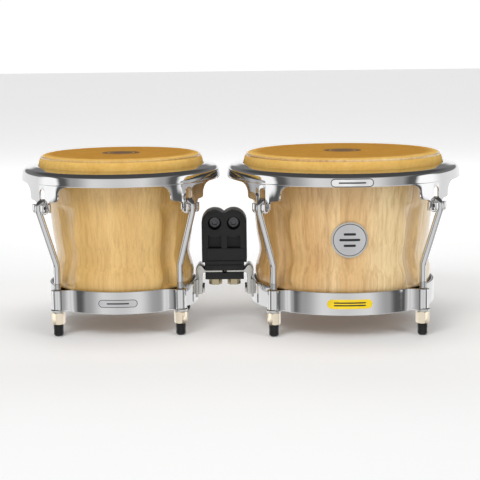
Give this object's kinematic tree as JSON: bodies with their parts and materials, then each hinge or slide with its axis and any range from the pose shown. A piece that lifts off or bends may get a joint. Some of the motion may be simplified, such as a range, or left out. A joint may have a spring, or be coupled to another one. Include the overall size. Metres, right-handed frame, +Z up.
{
  "type": "bongo drums",
  "caption": "Pair of hand drums, small and large, with tuning rods, rims and feet, joined by a swivelling centre block.",
  "frame": {"origin": "middle of the footprint, on the surface that the rubber feet stand on", "axes": "+X from the small drum to the large drum, +Z up out of the heads, -Y towards the side with the badge and the block's sockets"},
  "size_m": [0.4856, 0.2584, 0.1926],
  "materials": {
    "macho_wood": "clear gloss lacquer",
    "hembra_wood": "clear gloss lacquer",
    "skin": "smooth rawhide",
    "chrome": "polished",
    "steel": "satin",
    "nickel": "semi-bright",
    "rubber": "semi-gloss",
    "plastic": "fine satin"
  },
  "bodies": {
    "block": {"block_front": "plastic", "block_back_plate": "steel", "block_screws": "steel", "clamp_plate": "plastic", "macho_swivel_bolt": "nickel", "hembra_swivel_bolt": "nickel", "swivel_nuts": "steel"},
    "macho_drum": {"macho_shell": "macho_wood", "macho_skin": "skin", "macho_bottom_hoop": "chrome", "macho_hoop_liner": "rubber", "macho_washers": "steel", "macho_arm": "steel", "macho_arm_pad": "steel", "macho_arm_screws": "steel"},
    "macho_tension": {"macho_rim": "chrome", "macho_flesh_hoop": "steel", "macho_feet": "rubber", "macho_rod_1": "chrome", "macho_rod_2": "chrome", "macho_rod_3": "chrome", "macho_rod_4": "chrome"},
    "macho_nut_1": {"macho_nut_1": "nickel"},
    "macho_nut_2": {"macho_nut_2": "nickel"},
    "macho_nut_3": {"macho_nut_3": "nickel"},
    "macho_nut_4": {"macho_nut_4": "nickel"},
    "hembra_drum": {"hembra_shell": "hembra_wood", "hembra_skin": "skin", "hembra_bottom_hoop": "chrome", "hembra_hoop_liner": "rubber", "hembra_washers": "steel", "hembra_arm": "steel", "hembra_arm_pad": "steel", "hembra_arm_screws": "steel", "hembra_badge": "chrome"},
    "hembra_tension": {"hembra_rim": "chrome", "hembra_flesh_hoop": "steel", "hembra_feet": "rubber", "hembra_rod_1": "chrome", "hembra_rod_2": "chrome", "hembra_rod_3": "chrome", "hembra_rod_4": "chrome"},
    "hembra_nut_1": {"hembra_nut_1": "nickel"},
    "hembra_nut_2": {"hembra_nut_2": "nickel"},
    "hembra_nut_3": {"hembra_nut_3": "nickel"},
    "hembra_nut_4": {"hembra_nut_4": "nickel"}
  },
  "joints": [
    {"name": "macho_swivel", "type": "hinge", "parent": "block", "child": "macho_drum", "pos_m": [-0.02945, 0, 0.0595], "axis": [0, 0, 1], "range_deg": [-6, 6]},
    {"name": "macho_nut_1_turn", "type": "hinge", "parent": "macho_drum", "child": "macho_nut_1", "pos_m": [-0.06646, 0.06618, 0.0197], "axis": [0, 0, 1], "range_deg": [0, 1081]},
    {"name": "macho_nut_2_turn", "type": "hinge", "parent": "macho_drum", "child": "macho_nut_2", "pos_m": [-0.19884, 0.06618, 0.0197], "axis": [0, 0, 1], "range_deg": [0, 1081]},
    {"name": "macho_nut_3_turn", "type": "hinge", "parent": "macho_drum", "child": "macho_nut_3", "pos_m": [-0.19884, -0.06618, 0.0197], "axis": [0, 0, 1], "range_deg": [0, 1081]},
    {"name": "macho_nut_4_turn", "type": "hinge", "parent": "macho_drum", "child": "macho_nut_4", "pos_m": [-0.06646, -0.06618, 0.0197], "axis": [0, 0, 1], "range_deg": [0, 1081]},
    {"name": "macho_rim_pull", "type": "slide", "parent": "macho_drum", "child": "macho_tension", "axis": [0, 0, 1], "range_m": [-0.00375, 0]},
    {"name": "hembra_swivel", "type": "hinge", "parent": "block", "child": "hembra_drum", "pos_m": [-0.00865, 0, 0.0595], "axis": [0, 0, 1], "range_deg": [-6, 6]},
    {"name": "hembra_nut_1_turn", "type": "hinge", "parent": "hembra_drum", "child": "hembra_nut_1", "pos_m": [0.19326, 0.07966, 0.0197], "axis": [0, 0, 1], "range_deg": [0, 1081]},
    {"name": "hembra_nut_2_turn", "type": "hinge", "parent": "hembra_drum", "child": "hembra_nut_2", "pos_m": [0.03394, 0.07966, 0.0197], "axis": [0, 0, 1], "range_deg": [0, 1081]},
    {"name": "hembra_nut_3_turn", "type": "hinge", "parent": "hembra_drum", "child": "hembra_nut_3", "pos_m": [0.03394, -0.07966, 0.0197], "axis": [0, 0, 1], "range_deg": [0, 1081]},
    {"name": "hembra_nut_4_turn", "type": "hinge", "parent": "hembra_drum", "child": "hembra_nut_4", "pos_m": [0.19326, -0.07966, 0.0197], "axis": [0, 0, 1], "range_deg": [0, 1081]},
    {"name": "hembra_rim_pull", "type": "slide", "parent": "hembra_drum", "child": "hembra_tension", "axis": [0, 0, 1], "range_m": [-0.00375, 0]}
  ],
  "couplings": [
    {"joint": "macho_nut_1_turn", "follows": "macho_rim_pull", "rad_per_m": -5026.5},
    {"joint": "macho_nut_2_turn", "follows": "macho_rim_pull", "rad_per_m": -5026.5},
    {"joint": "macho_nut_3_turn", "follows": "macho_rim_pull", "rad_per_m": -5026.5},
    {"joint": "macho_nut_4_turn", "follows": "macho_rim_pull", "rad_per_m": -5026.5},
    {"joint": "hembra_nut_1_turn", "follows": "hembra_rim_pull", "rad_per_m": -5026.5},
    {"joint": "hembra_nut_2_turn", "follows": "hembra_rim_pull", "rad_per_m": -5026.5},
    {"joint": "hembra_nut_3_turn", "follows": "hembra_rim_pull", "rad_per_m": -5026.5},
    {"joint": "hembra_nut_4_turn", "follows": "hembra_rim_pull", "rad_per_m": -5026.5}
  ]
}
